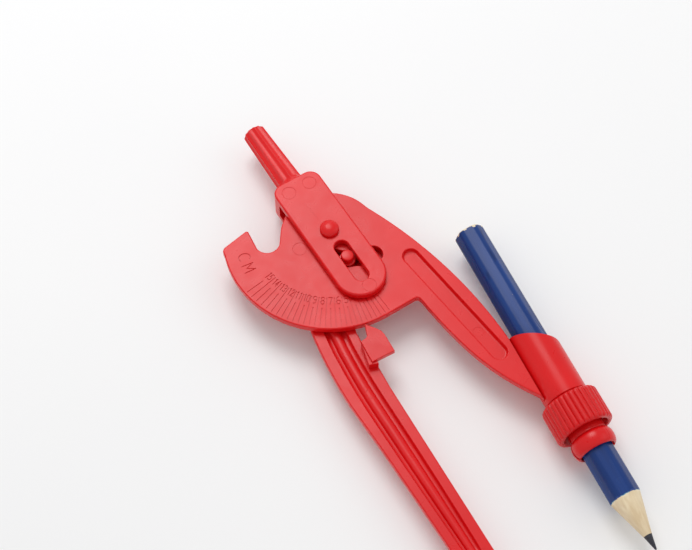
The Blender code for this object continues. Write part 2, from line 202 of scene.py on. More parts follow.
def band(line, half):
    """Outline of a round-ended band of constant half width along a line, with mitred corners."""
    normals = []
    for (ax, ay), (bx, by) in zip(line, line[1:]):
        normals.append(Vector((ay - by, bx - ax)).normalized())
    left, right = [], []
    for i, (x, y) in enumerate(line):
        before, after = normals[max(i - 1, 0)], normals[min(i, len(normals) - 1)]
        mitre = (before + after).normalized()
        reach = half / max(mitre.dot(after), 0.5)
        left.append((x + mitre.x * reach, y + mitre.y * reach))
        right.append((x - mitre.x * reach, y - mitre.y * reach))

    def cap(centre, start):
        a = math.degrees(math.atan2(start[1] - centre[1], start[0] - centre[0]))
        return arc(centre[0], centre[1], half, a, a - 180, 18)[1:-1]
    return left + cap(line[-1], left[-1]) + right[::-1] + cap(line[0], right[0])


# ---------------------------------------------------------------- solids

def skin(loops, closed=False):
    """A closed solid through a row of loops with equal counts, capped unless it closes on itself."""
    bm = bmesh.new()
    rings = [[bm.verts.new(p) for p in loop] for loop in loops]
    pairs = list(zip(rings, rings[1:]))
    if closed:
        pairs.append((rings[-1], rings[0]))
    for a, b in pairs:
        for j in range(len(a)):
            k = (j + 1) % len(a)
            bm.faces.new((a[j], a[k], b[k], b[j]))
    if not closed:
        bm.faces.new(rings[0][::-1])
        bm.faces.new(rings[-1])
    bmesh.ops.connect_verts_nonplanar(bm, angle_limit=1e-4, faces=bm.faces)
    bmesh.ops.recalc_face_normals(bm, faces=bm.faces)
    if bm.calc_volume(signed=True) < 0:
        bmesh.ops.reverse_faces(bm, faces=bm.faces)
    return bm


def slab(points, levels):
    """A plate whose outline is offset by a different amount at each level: (offset, z) pairs."""
    points = counter_clockwise(points)
    return skin([[(x, y, z) for x, y in offset(points, d)] for d, z in levels])


def rounded(low, high, low_r, high_r, steps=4):
    """Levels of a plate with round lower and upper edges."""
    quarter = [math.radians(90 * k / steps) for k in range(steps + 1)]
    levels = [(low_r * (math.sin(a) - 1), low + low_r * (1 - math.cos(a))) for a in quarter]
    return levels + [(high_r * (math.cos(a) - 1), high - high_r * (1 - math.sin(a))) for a in quarter]


def mouth_levels(face, radius, up=1, steps=4):
    """Levels of a cutter that leaves a round edge of that radius where it meets a face."""
    levels = []
    for k in range(steps + 1):
        a = math.radians(90 * k / steps)
        levels.append((radius * (1 - math.cos(a)), face - up * radius * (1 - math.sin(a))))
    levels.append((radius, face + up * 1.0))
    return levels if up > 0 else levels[::-1]


def through(low, high, radius):
    """Levels of a cutter that goes right through a plate and rounds both mouths."""
    return mouth_levels(low, radius, -1) + mouth_levels(high, radius, 1)


def revolve(profile, steps, closed=False):
    """A turned solid from (radius, z) pairs; a closed profile makes a tube."""
    loops = []
    for r, z in profile:
        ring = []
        for j in range(steps):
            a = 2 * math.pi * j / steps
            ring.append((r * math.cos(a), r * math.sin(a), z))
        loops.append(ring)
    return skin(loops, closed)


def block(low, high):
    outline = [(low[0], low[1]), (high[0], low[1]), (high[0], high[1]), (low[0], high[1])]
    return slab(outline, [(0, low[2]), (0, high[2])])


def moved(bm, matrix):
    bm.transform(matrix)
    if matrix.determinant() < 0:
        bmesh.ops.reverse_faces(bm, faces=bm.faces)
    return bm


def make_object(name, bm):
    """An object in millimetres, before it is placed."""
    mesh = bpy.data.meshes.new(name)
    bm.to_mesh(mesh)
    bm.free()
    obj = bpy.data.objects.new(name, mesh)
    bpy.context.scene.collection.objects.link(obj)
    return obj


def evaluated_mesh(obj):
    depsgraph = bpy.context.evaluated_depsgraph_get()
    return bpy.data.meshes.new_from_object(obj.evaluated_get(depsgraph))


ATTEMPTS = 12                  # places tried for a Boolean's tool
SLACK = 0.02                   # cubic millimetres


def measure(mesh):
    """A mesh's volume, and whether it is closed."""
    bm = bmesh.new()
    bm.from_mesh(mesh)
    volume = bm.calc_volume(signed=True)
    closed = all(e.is_manifold for e in bm.edges)
    bm.free()
    return volume, closed


def plausible(mesh, before, tool, operation):
    """Whether a Boolean's result is closed and has a volume that it can have."""
    volume, closed = measure(mesh)
    if operation == 'DIFFERENCE':
        low, high = before - tool, before
    elif operation == 'UNION':
        low, high = max(before, tool), before + tool
    else:
        low, high = 2 * SLACK, min(before, tool)
    return closed and volume > SLACK and low - SLACK <= volume <= high + SLACK


def combine(obj, tool, operation='DIFFERENCE'):
    """Cuts a tool from an object or joins it, and tries again a hair's breadth away if that fails."""
    if not isinstance(tool, bpy.types.Object):
        tool = make_object(obj.name + "_tool", tool)
    before, size = measure(obj.data)[0], measure(tool.data)[0]
    modifier = obj.modifiers.new("cut", 'BOOLEAN')
    modifier.operation = operation
    modifier.solver = 'EXACT'
    modifier.object = tool
    modifier.material_mode = 'TRANSFER'
    for attempt in range(ATTEMPTS):
        tool.location = Vector((0.0013, -0.0017, 0.0009)) * attempt
        mesh = evaluated_mesh(obj)
        if plausible(mesh, before, size, operation):
            obj.modifiers.clear()
            obj.data = mesh
            break
    else:
        print("kept uncut:", obj.name, operation, round(before, 2), round(size, 3), measure(mesh))
        obj.modifiers.clear()
    bpy.data.objects.remove(tool)
    return obj


def place(obj, matrix, body, material, nodes, sharp=32.0):
    """Turns a finished shape to metres in its place, shades it and lets it ride on its body."""
    obj.data.transform(matrix @ Matrix.Scale(MM, 4))
    obj.data.update()
    if material:
        obj.data.materials.clear()
        obj.data.materials.append(material)
    obj.data.shade_smooth()
    obj.data.set_sharp_from_angle(angle=math.radians(sharp))
    weights = obj.modifiers.new("weighted_normals", 'WEIGHTED_NORMAL')
    weights.mode = 'FACE_AREA'
    weights.keep_sharp = True
    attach(obj, body)
    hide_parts(*nodes)
    return obj


# ---------------------------------------------------------------- materials

class Surface:
    """A node material: a Principled shader and short calls for what feeds it.

    Its coordinates are those of the given frame, in metres.
    """

    def __init__(self, name, roughness, axes=Matrix.Identity(4), **fixed):
        self.material = bpy.data.materials.new(name)
        self.material.use_nodes = True
        self.tree = self.material.node_tree
        self.shader = self.tree.nodes["Principled BSDF"]
        self.shader.inputs["Roughness"].default_value = roughness
        for socket, value in fixed.items():
            self.shader.inputs[socket.replace("_", " ")].default_value = value
        local = axes.inverted()
        mapping = self.node("ShaderNodeMapping")
        self.link(self.node("ShaderNodeTexCoord").outputs["Object"], mapping.inputs["Vector"])
        mapping.inputs["Location"].default_value = local.to_translation()
        mapping.inputs["Rotation"].default_value = local.to_euler()
        self.coordinates = mapping.outputs["Vector"]

    def node(self, kind, **settings):
        node = self.tree.nodes.new(kind)
        for key, value in settings.items():
            setattr(node, key, value)
        return node

    def link(self, source, target):
        if isinstance(source, (int, float)):
            target.default_value = source
        elif isinstance(source, tuple):
            target.default_value = (*source, 1.0)[:len(target.default_value)]
        else:
            self.tree.links.new(source, target)

    def stretched(self, x, y, z):
        node = self.node("ShaderNodeMapping")
        self.link(self.coordinates, node.inputs["Vector"])
        node.inputs["Scale"].default_value = (x, y, z)
        return node.outputs["Vector"]

    def noise(self, scale, detail=3.0, vector=None, distortion=0.0, roughness=0.5):
        node = self.node("ShaderNodeTexNoise")
        self.link(vector or self.coordinates, node.inputs["Vector"])
        node.inputs["Scale"].default_value = scale
        node.inputs["Detail"].default_value = detail
        node.inputs["Roughness"].default_value = roughness
        node.inputs["Distortion"].default_value = distortion
        return node.outputs["Fac"]

    def ramp(self, value, low, high, low_out=0.0, high_out=1.0):
        node = self.node("ShaderNodeMapRange")
        self.link(value, node.inputs["Value"])
        node.inputs["From Min"].default_value = low
        node.inputs["From Max"].default_value = high
        node.inputs["To Min"].default_value = low_out
        node.inputs["To Max"].default_value = high_out
        return node.outputs["Result"]

    def math(self, operation, a, b=0.0):
        node = self.node("ShaderNodeMath", operation=operation)
        self.link(a, node.inputs[0])
        self.link(b, node.inputs[1])
        return node.outputs[0]

    def blend(self, factor, a, b):
        node = self.node("ShaderNodeMix", data_type='RGBA')
        self.link(factor, node.inputs[0])
        self.link(a, node.inputs[6])
        self.link(b, node.inputs[7])
        return node.outputs[2]

    def axis(self, name):
        node = self.node("ShaderNodeSeparateXYZ")
        self.link(self.coordinates, node.inputs[0])
        return node.outputs[name]

    def colour(self, source):
        self.link(source, self.shader.inputs["Base Color"])

    def rough(self, source):
        self.link(source, self.shader.inputs["Roughness"])

    def bump(self, *layers):
        """Stacks bumps: (height, strength, distance in metres)."""
        normal = None
        for height, strength, distance in layers:
            node = self.node("ShaderNodeBump")
            node.inputs["Strength"].default_value = strength
            node.inputs["Distance"].default_value = distance
            self.link(height, node.inputs["Height"])
            if normal:
                self.link(normal, node.inputs["Normal"])
            normal = node.outputs["Normal"]
        self.link(normal, self.shader.inputs["Normal"])


def red_plastic(name, deep, pale, roughness):
    """Moulded plastic: faint flow clouds, orange peel and hairline scuffs."""
    s = Surface(name, roughness, Subsurface_Weight=0.12, Subsurface_Scale=0.0008, Specular_IOR_Level=0.38)
    s.shader.inputs["Subsurface Radius"].default_value = (1.0, 0.12, 0.08)
    clouds = s.noise(55.0, 2.0, distortion=0.6)
    s.colour(s.blend(s.ramp(clouds, 0.3, 0.7), deep, pale))
    scuffs = s.noise(300.0, 4.0, distortion=0.8)
    s.rough(s.math('ADD', s.ramp(scuffs, 0.35, 0.75, -0.03, 0.05), roughness))
    peel = s.noise(1700.0, 2.0)
    waves = s.noise(160.0, 2.0)
    s.bump((waves, 0.15, 0.00010), (peel, 0.22, 0.00002))
    return s.material


PAINT = ((0.007, 0.031, 0.150), (0.012, 0.050, 0.225))
WOOD_TINT = (0.84, 0.71, 0.50)


def paint_edge(s, after=0.0):
    """Rises from 0 to 1 where the sharpener has cut through the paint, at a slightly ragged line."""
    edge = (TIP_S - 13.95 + after) * MM
    ragged = s.math('MULTIPLY', s.noise(1300.0, 3.0), 0.0007)
    return s.ramp(s.math('ADD', s.axis("Z"), ragged), edge + 0.00032, edge + 0.00038)


def blue_lacquer():
    """Thin paint over wood: drips along the pencil, dull streaks, chips at the cut end."""
    s = Surface("blue_lacquer", 0.3, HOLDER, Coat_Weight=0.04, Coat_Roughness=0.12, Specular_IOR_Level=0.22)
    along = s.axis("Z")
    grain = s.noise(420.0, 4.0, s.stretched(1.0, 1.0, 0.07))
    blotch = s.noise(240.0, 3.0, s.stretched(1.0, 1.0, 0.3), distortion=1.0)
    paint = s.blend(s.ramp(grain, 0.35, 0.7), *PAINT)
    paint = s.blend(s.ramp(blotch, 0.60, 0.72, 0.0, 0.55), paint, (0.004, 0.008, 0.045))
    chip_noise = s.noise(900.0, 3.0)
    end = s.ramp(along, PENCIL_TOP * MM, (PENCIL_TOP + 1.0) * MM, 0.38, 0.0)
    chips = s.ramp(s.math('ADD', chip_noise, end), 0.77, 0.81)
    sawn = s.ramp(along, (PENCIL_TOP + 0.08) * MM, (PENCIL_TOP + 0.12) * MM, 1.0, 0.0)
    chips = s.math('MAXIMUM', chips, sawn)
    coloured = s.blend(chips, paint, WOOD_TINT)
    coloured = s.blend(paint_edge(s, -0.16), coloured, (0.10, 0.30, 0.42))
    s.colour(s.blend(paint_edge(s), coloured, WOOD_TINT))
    s.rough(s.ramp(s.math('ADD', chips, s.ramp(blotch, 0.5, 0.8, 0.0, 0.3)), 0.0, 1.0, 0.26, 0.6))
    s.bump((grain, 0.3, 0.00008), (chip_noise, 0.12, 0.00003), (chips, -0.5, 0.00005))
    return s.material


def bare_wood():
    """Sharpened casing: streaks of grain along the cone and the sharpener's fine rings."""
    s = Surface("sharpened_wood", 0.65, HOLDER)
    grain = s.noise(700.0, 4.0, s.stretched(1.0, 1.0, 0.09), distortion=0.4)
    patch = s.noise(220.0, 2.0)
    rings = s.noise(1600.0, 2.0, s.stretched(0.15, 0.15, 1.0))
    wood = s.blend(s.ramp(grain, 0.35, 0.68), (0.70, 0.54, 0.33), (0.88, 0.75, 0.53))
    wood = s.blend(s.ramp(patch, 0.4, 0.75, 0.0, 0.3), wood, (0.58, 0.42, 0.24))
    s.colour(s.blend(paint_edge(s), PAINT[1], wood))
    s.rough(s.ramp(grain, 0.3, 0.7, 0.6, 0.78))
    s.bump((grain, 0.5, 0.00008), (rings, 0.25, 0.00004))
    return s.material


def graphite():
    s = Surface("graphite", 0.38, HOLDER, Specular_IOR_Level=0.45)
    grain = s.noise(2200.0, 3.0)
    lines = s.noise(1800.0, 2.0, s.stretched(0.1, 0.1, 1.0))
    s.colour(s.blend(s.ramp(grain, 0.3, 0.7), (0.016, 0.016, 0.024), (0.036, 0.036, 0.050)))
    s.rough(s.ramp(grain, 0.3, 0.7, 0.3, 0.48))
    s.bump((lines, 0.4, 0.00004), (grain, 0.3, 0.00002))
    return s.material


def paper_floor():
    s = Surface("pale_floor", 0.75)
    cloud = s.noise(6.0, 2.0)
    s.colour(s.blend(s.ramp(cloud, 0.3, 0.7), (0.905, 0.905, 0.91), (0.93, 0.93, 0.93)))
    return s.material


RED = red_plastic("red_moulded", (0.68, 0.003, 0.005), (0.75, 0.005, 0.007), 0.30)
# The clamp nut gets a darker copy of the same red moulding: painted shade, not a different plastic.
RED_NUT_SHADED = red_plastic("red_moulded_painted_shade", (0.64, 0.003, 0.005), (0.70, 0.005, 0.007), 0.30)
BLUE = blue_lacquer()
WOOD = bare_wood()
GRAPHITE = graphite()


# ---------------------------------------------------------------- yoke, rivet and guide pin

def ejector_mark(obj, x, y, face, radius=1.8, depth=0.1):
    """Round mark of an ejector pin: a fine groove round a slightly sunken disc."""
    outer, inner = radius + 0.09, radius - 0.09
    groove = [(0.02, face - 0.03), (inner, face - 0.03), (inner + 0.03, face - depth)]
    groove += [(outer - 0.03, face - depth), (outer, face - 0.02), (outer + 0.03, face + 0.3)]
    groove.append((0.02, face + 0.3))
    return combine(obj, moved(revolve(groove, 48), Matrix.Translation((x, y, 0))))


def grip():
    """Fluted, tapered handle along +Y with a flared root and a rounded end."""
    around = FLUTES * 12
    end_r = 0.7
    stations = [(YOKE_TOP - 2.0, 0.3), (YOKE_TOP, 0.4), (YOKE_TOP + 0.3, 0.22), (YOKE_TOP + 0.8, 0.08)]
    stations += [(YOKE_TOP + 1.6, 0.0), (GRIP_END - end_r, 0.0)]
    for k in range(1, 6):
        a = math.radians(18 * k)
        stations.append((GRIP_END - end_r * (1 - math.sin(a)), -end_r * (1 - math.cos(a))))
    loops = []
    for y, extra in stations:
        share = (y - YOKE_TOP) / (GRIP_END - YOKE_TOP)
        radius = GRIP_BASE_R + (GRIP_END_R - GRIP_BASE_R) * share + extra
        depth = 0.34 * min(1.0, max(0.0, (y - YOKE_TOP) / 1.2)) * (0.5 if extra < 0 else 1.0)
        loop = []
        for j in range(around):
            u = 2 * ((j / 12) % 1.0) - 1
            r = radius - depth * (1 - u * u)
            a = 2 * math.pi * j / around
            loop.append((r * math.cos(a), y, -r * math.sin(a)))
        loops.append(loop)
    return skin(loops)


def yoke():
    w = YOKE_W
    c = 3.0
    outline = arc(0, YOKE_END_Y, w, 180, 360, 4)
    outline += arc(w - c, YOKE_TOP - c, c, 0, 90, 8)
    outline += arc(c - w, YOKE_TOP - c, c, 90, 180, 8)
    body = make_object("yoke_shell", slab(outline, rounded(-YOKE_HALF, YOKE_HALF, 0.5, 0.5, 5)))
    gap = DISC_TOP + GAP
    inner = 0.6
    side = [(-30, -gap)] + arc(BRIDGE_Y - inner, inner - gap, inner, -90, 0, 15)
    side += arc(BRIDGE_Y - inner, gap - inner, inner, 0, 90, 15) + [(-30, gap)]
    clevis = skin([[(x, y, z) for y, z in side] for x in (-9, 9)])
    combine(body, clevis)
    slot = stadium(0, SLOT_TOP - SLOT_R, 0, SLOT_END + SLOT_R, SLOT_R)
    for up in (1, -1):
        levels = mouth_levels(up * YOKE_HALF, 0.28, up)
        inside = up * (gap - 0.6)
        levels = [(0, inside)] + levels if up > 0 else levels + [(0, inside)]
        combine(body, slab(slot, levels))
    combine(body, revolve([(HOLE_R, -7), (HOLE_R, 7)], 48))
    combine(body, grip(), 'UNION')
    for x, y in ((3.05, 14.9), (-3.05, 14.9), (0.0, -19.0)):
        ejector_mark(body, x, y, YOKE_HALF)
    knit = [(-1.3, 10.0), (-0.75, 3.6), (-0.63, 3.6), (-1.14, 10.0)]
    combine(body, slab(knit, [(0, YOKE_HALF - 0.04), (0, YOKE_HALF + 1)]))
    return place(body, MIDDLE, "head", RED, ["yoke"])


def rivet():
    """Domed head in front, plain shank, flat closing head behind."""
    front = YOKE_HALF + 0.2
    rear = -PIVOT.z / MM
    profile = [(0.02, front + 1.6), (0.9, front + 1.57)]
    for k in range(8):
        a = math.radians(66 - 66 * k / 7)
        profile.append((HEAD_R * math.cos(a), front + 0.35 + 1.3 * math.sin(a)))
    profile += [(HEAD_R, front + 0.06), (HEAD_R - 0.06, front), (SHANK_R, front), (SHANK_R, -front)]
    profile += [(HEAD_R, -front), (HEAD_R, rear + 0.35), (HEAD_R - 0.1, rear + 0.1)]
    profile += [(HEAD_R - 0.35, rear), (0.02, rear)]
    obj = make_object("rivet_moulding", revolve(profile, 64))
    return place(obj, MIDDLE, "head", RED, ["pivot_rivet"])


def guide_pin():
    top = YOKE_HALF - 0.1
    half = [(0.02, top), (PIN_R - 0.45, top - 0.02), (PIN_R - 0.2, top - 0.1), (PIN_R - 0.05, top - 0.28)]
    half += [(PIN_R, top - 0.5), (PIN_R, DISC_TOP + 0.05), (PIN_BODY_R - 0.1, DISC_TOP)]
    half.append((PIN_BODY_R, DISC_TOP - 0.1))
    profile = half + [(r, -z) for r, z in half[::-1]]
    obj = make_object("guide_pin_moulding", revolve(profile, 48))
    place_at = MIDDLE @ Matrix.Translation((0, -PIN_REST * MM, 0))
    return place(obj, place_at, "guide_pin", RED, ["guide_pin"])


# ---------------------------------------------------------------- pencil leg

def cam_slot(mirror):
    """Centre line of a disc's slot for the guide pin: its radius falls evenly as the leg opens."""
    line = []
    first, last, count = -143.0, -70.5, 36
    for i in range(count + 1):
        angle = first + (last - first) * i / count
        r = PIN_REST + PIN_PER_DEG * (90 + REST_ANGLE + angle) + 0.095 * max(0.0, angle + 90)
        a = math.radians(angle)
        line.append((mirror * r * math.cos(a), r * math.sin(a)))
    return band(line, CAM_W)


def pencil_leg_outline():
    bottom = -28.3
    inner = 4.1
    fillet = 1.1
    points = arc(0, 0, DISC_R, -98, -209, 1.5)
    points += arc(-22.2, 13.6, 1.6, 150, 90, 10)
    points += arc(-15.5, 14.6, 0.6, 90, 0, 15)
    points += arc(-13.3, 9.1, 3.2, 176, 320, 5)
    points += arc(0, 0, LOBE_R, 136, 4, 2)
    points += arc(15.4 - EDGE_R, -26.0, EDGE_R, 12.2, -12.2, 0.8)
    points += [holder_point(-IN_WALL, 46.5), holder_point(-IN_WALL, 64.0), holder_point(-WEB_LINE, 64.0)]
    points += arc(65.0, -46.0, 62.0, 201.0, 180, 1)
    points += arc(120.0, -46.0, 117.0, 179, 172.2, 1)
    points += arc(inner - fillet, bottom - fillet, fillet, 0, 90, 10)
    return points


def scale_mark(opening):
    """Angle, in the closed frame, where the pointer stands when the tips are that far apart."""
    return -92.9 - 2 * math.degrees(math.asin(opening / (2 * LEG_LENGTH)))


def curl(cx, cy, rx, ry, start, end, step=20.0):
    """Points along an elliptical arc."""
    return [(cx + rx * x, cy + ry * y) for x, y in arc(0, 0, 1, start, end, step)]


# Last centimetre on the scale
LAST_CM = 15

# Strokes of the moulded characters in a cell one unit wide and two high, centred on the origin
STROKES = {
    "0": [curl(0, 0.5, 0.5, 0.5, 0, 180), curl(0, -0.5, 0.5, 0.5, 180, 360),
          [(-0.5, 0.55), (-0.5, -0.55)], [(0.5, 0.55), (0.5, -0.55)]],
    "1": [[(-0.22, 0.7), (0.08, 1.0), (0.08, -1.0)]],
    "2": [curl(0, 0.5, 0.46, 0.5, 170, -35) + [(-0.42, -0.9)], [(-0.45, -0.95), (0.5, -0.95)]],
    "3": [curl(-0.04, 0.5, 0.46, 0.48, 150, -80), curl(-0.04, -0.48, 0.5, 0.5, 85, -150)],
    "4": [[(0.2, -1.0), (0.2, 1.0)], [(0.17, 0.95), (-0.5, -0.45)], [(-0.5, -0.5), (0.5, -0.5)]],
    "5": [[(0.42, 0.95), (-0.34, 0.95)], [(-0.34, 0.9), (-0.4, 0.12)],
          curl(-0.02, -0.38, 0.5, 0.6, 135, -140)],
    "6": [curl(0.12, 0.0, 0.6, 1, 80, 178), curl(0, -0.45, 0.48, 0.52, 10, 190),
          curl(0, -0.45, 0.48, 0.52, 175, 365)],
    "7": [[(-0.5, 0.95), (0.46, 0.95)], [(0.44, 0.9), (-0.12, -1.0)]],
    "8": [curl(0, 0.5, 0.4, 0.46, -85, 90), curl(0, 0.5, 0.4, 0.46, 80, 275),
          curl(0, -0.5, 0.48, 0.5, 95, 270), curl(0, -0.5, 0.48, 0.5, -100, 85)],
    "9": [curl(-0.12, 0.0, 0.6, 1, -100, -2), curl(0, 0.45, 0.48, 0.52, 190, 370),
          curl(0, 0.45, 0.48, 0.52, -5, 185)],
    "C": [curl(0.1, 0, 0.6, 1, 55, 305)],
    "M": [[(-0.55, -1.0), (-0.5, 1.0)], [(-0.48, 0.97), (0, -0.35), (0.48, 0.97)],
          [(0.5, 1.0), (0.55, -1.0)]],
}


def engrave(obj, text, width, height, pitch, angle, radius, face):
    """Cuts a number into a face, upright towards the pivot."""
    a = math.radians(angle)
    place_at = Matrix.Translation((radius * math.cos(a), radius * math.sin(a), 0)) @ turn(angle + 90, 'Z')
    half = 0.125
    for i, character in enumerate(text):
        middle = (i - (len(text) - 1) / 2) * pitch
        for k, stroke in enumerate(STROKES[character]):
            line = [(middle + x * width, y * height / 2) for x, y in stroke]
            depth = 0.2 + 0.008 * k
            combine(obj, moved(slab(band(line, half), [(-0.03, face - depth), (0.02, face + 0.4)]), place_at))


def engraving(obj, face):
    """The opening scale: half centimetres are the long lines, centimetres the short ones under digits."""
    depth = 0.17
    half = 0.15
    for step in range(2, 2 * LAST_CM + 1):
        angle = scale_mark(step * 5.0)
        inner = 21.6 if step % 2 == 0 else 18.6
        bar = slab([(inner, -half), (26.8, -half), (26.8, half), (inner, half)],
                   [(-0.04, face - depth), (0.03, face + 0.5)])
        combine(obj, moved(bar, turn(angle, 'Z')))
        if step % 2 == 0:
            text = str(step // 2)
            single = len(text) == 1
            engrave(obj, text, 0.95 if single else 0.62, 2.0, 0.86, angle, 19.5, face)
    engrave(obj, "C", 2.0, 3.0, 0, 155.0, 22.7, face)
    engrave(obj, "M", 1.9, 3.0, 0, 163.5, 22.7, face)


def collet():
    """Barrel, threaded jaws and their round nose as one tube, in the holder's frame."""
    bulb = [(NOSE_R + 0.15, BULB_END - 4.4)]
    reach = 2.15
    for k in range(19):
        a = math.radians(10 * k)
        bulb.append((NOSE_R + (BULB_R - NOSE_R) * math.sin(a), BULB_END - reach - reach * math.cos(a)))
    profile = [(BORE_R, BARREL_S), (BARREL_R, BARREL_S), (BARREL_R, BARREL_END - 0.3)]
    profile += [(BARREL_R - 0.3, BARREL_END)]
    s = BARREL_END
    while s + THREAD_PITCH < BULB_S - 1.6:
        profile += [(THREAD_R - 0.28, s + 0.1), (THREAD_R, s + THREAD_PITCH * 0.45)]
        profile.append((THREAD_R, s + THREAD_PITCH * 0.6))
        s += THREAD_PITCH
    profile += [(NOSE_R, s + 0.2)] + bulb + [(BORE_R, BULB_END - 0.15)]
    tube = make_object("collet", revolve(profile, 96, closed=True))
    slope = math.radians(MOUTH_SLOPE)
    rise = math.tan(slope)
    round_r = 3.0
    centre = BARREL_R - round_r
    mouth = [(-9, 38), (14, 38), (14, 56.0), (BARREL_R + 0.1, 56.0)]
    height = MOUTH_S + (BARREL_R + centre) * rise + round_r / math.cos(slope)
    mouth += arc(centre, height, round_r, 5, MOUTH_SLOPE - 90, 8)
    mouth += [(-9, MOUTH_S - (9 - BARREL_R) * rise)]
    combine(tube, moved(slab(mouth, [(0, -9), (0, 9)]), turn(90, 'X')))
    soften(tube, lambda p: p.z < 56, 0.22)
    combine(tube, block((-8, -SLIT / 2, SLIT_S), (8, SLIT / 2, BULB_END + 2)))
    tube.data.transform(HOLDER_IN_LEG)
    return tube


def soften(obj, chosen, width, angle=50.0, segments=3):
    """Rounds the sharp edges whose ends are both in the chosen place."""
    bm = bmesh.new()
    bm.from_mesh(obj.data)
    edges = []
    for e in bm.edges:
        if len(e.link_faces) != 2 or e.calc_face_angle(0.0) < math.radians(angle):
            continue
        if all(chosen(v.co) for v in e.verts):
            edges.append(e)
    bmesh.ops.bevel(bm, geom=edges, offset=width, segments=segments, profile=0.5, affect='EDGES',
                    clamp_overlap=True)
    bm.to_mesh(obj.data)
    bm.free()
    return obj


def pencil_leg():
    low, high = GAP / 2, DISC_TOP
    leg = make_object("pencil_leg_moulding", slab(pencil_leg_outline(), rounded(low, high, 0.3, 0.35)))
    combine(leg, slab(cam_slot(1), through(low, high, 0.25)))
    combine(leg, revolve([(HOLE_R, -7), (HOLE_R, 7)], 48))
    pocket = stadium(10.9, -18.9, 8.1, -53.0, 2.2)
    floor = high - POCKET_D
    levels = [(-0.62, floor), (-0.35, floor + 0.06), (-0.16, floor + 0.25), (-0.08, floor + 0.5)]
    levels += mouth_levels(high, 0.2)
    combine(leg, slab(pocket, levels))
    ejector_mark(leg, 8.6, -45.5, floor, 1.35, 0.06)
    groove = [holder_point(-WEB_LINE, 44), holder_point(-WEB_LINE, 66)]
    groove += [holder_point(-2.0, 66), holder_point(-2.0, 44)]
    combine(leg, slab(groove, [(0, high - 1.3), (0, high - 0.12), (0.1, high + 0.02), (0.1, high + 1)]))
    web = [holder_point(-7.3, 51.5), holder_point(-7.3, 59.5)]
    web += [holder_point(-IN_WALL, 59.5), holder_point(-IN_WALL, 51.5)]
    combine(leg, slab(web, rounded(-1.6, low + 0.3, 0.2, 0.01)), 'UNION')
    combine(leg, collet(), 'UNION')
    ejector_mark(leg, -8.6, 1.8, high)
    engraving(leg, high)
    return place(leg, PENCIL_LEG, "pencil_leg", RED, ["pencil_leg"])


# ---------------------------------------------------------------- point leg

# Middle line of the channel, its half width and the share of the grooves' full depth there
CHANNEL = ((-8.75, -19.0, 2.6, 1.0), (-8.4, -31.0, 2.6, 1.0), (-7.9, -37.0, 2.6, 1.0),
           (-7.35, -42.0, 2.6, 1.0), (-6.5, -48.0, 2.6, 1.0), (-5.5, -54.0, 2.55, 1.0),
           (-4.05, -63.0, 2.45, 1.0), (-2.6, -72.0, 2.3, 1.0), (-1.15, -81.0, 2.1, 1.0),
           (0.1, -89.0, 1.9, 0.9), (0.45, -91.5, 1.8, 0.55), (0.7, -93.5, 1.6, 0.06))
RIDGE = 1.25


def channel(face):
    """Swept cutter: two round-bottomed grooves with a rounded ridge between them."""
    side = [(0.35, 1.0), (0.2, 0.02), (0.06, -0.12), (0.0, -0.4), (-0.12, -0.8), (-0.35, -1.05)]
    side.append((-0.7, -1.15))
    ridge = []
    for k in range(7):
        a = math.radians(15 * k)
        ridge.append((RIDGE * math.cos(a), -0.95 + 0.7 * math.sin(a)))
    loops = []
    for i, (x, y, half, share) in enumerate(CHANNEL):
        ax, ay = CHANNEL[max(i - 1, 0)][:2]
        bx, by = CHANNEL[min(i + 1, len(CHANNEL) - 1)][:2]
        normal = Vector((by - ay, ax - bx)).normalized()
        narrow = half / CHANNEL[0][2]
        right = [(half + n * narrow, z) for n, z in side] + [((RIDGE + 0.22) * narrow, -1.15)]
        right += [(n * narrow, z) for n, z in ridge[:-1]] + [(0.0, ridge[-1][1])]
        section = right + [(-n, z) for n, z in right[-2::-1]]
        loop = []
        for n, z in section:
            depth = z if z > 0 else z * share + 0.03 * (1 - share)
            loop.append((x + normal.x * n, y + normal.y * n, face + depth))
        loops.append(loop)
    return skin(loops)


def point_leg_outline():
    points = arc(0, 0, LOBE_R, -15, 197, 2)
    points += arc(EDGE_R - 14.0, -26.0, EDGE_R, 169.5, 189.5, 0.8)
    points += [(-11.5, -50.0), (-10.66, -54.0), (-9.86, -58.0), (-9.0, -62.5), (-7.6, -70.0), (-5.8, -80.0)]
    points += [(-4.0, -90.0), (-2.6, -98.0), (5.9, -98.0), (5.0, -91.4)]
    points += [(-1.5, -44.4), (-2.1, -38.0), (-3.3, -31.8), (-3.6, -27.5)]
    points += arc(0, 0, 18.0, -95, -50, 3)
    return points


def drawing_tip():
    """Ogive tip: boxy sections that shrink along the leg to the drawing point."""
    rings, around = 22, 48
    start = Vector((1.7, -97.2, -0.75))
    end = Vector((0.0, -LEG_LENGTH, -0.75))
    loops = []
    for i in range(rings):
        t = i / (rings - 1)
        centre = start.lerp(end, t)
        shoulder = min(1.0, t / 0.1)
        width = (4.15 + 0.3 * shoulder) * (1 - t ** 1.7) + 0.1
        height = (1.0 + 0.32 * shoulder) * (1 - t ** 2.4) + 0.1
        loop = []
        for j in range(around):
            a = 2 * math.pi * j / around
            c, s = math.cos(a), math.sin(a)
            x = math.copysign(abs(c) ** 0.55, c) * width
            z = math.copysign(abs(s) ** 0.45, s) * height
            loop.append(centre + Vector((x, -0.09 * x, z)))
        loops.append(loop)
    return skin(loops)


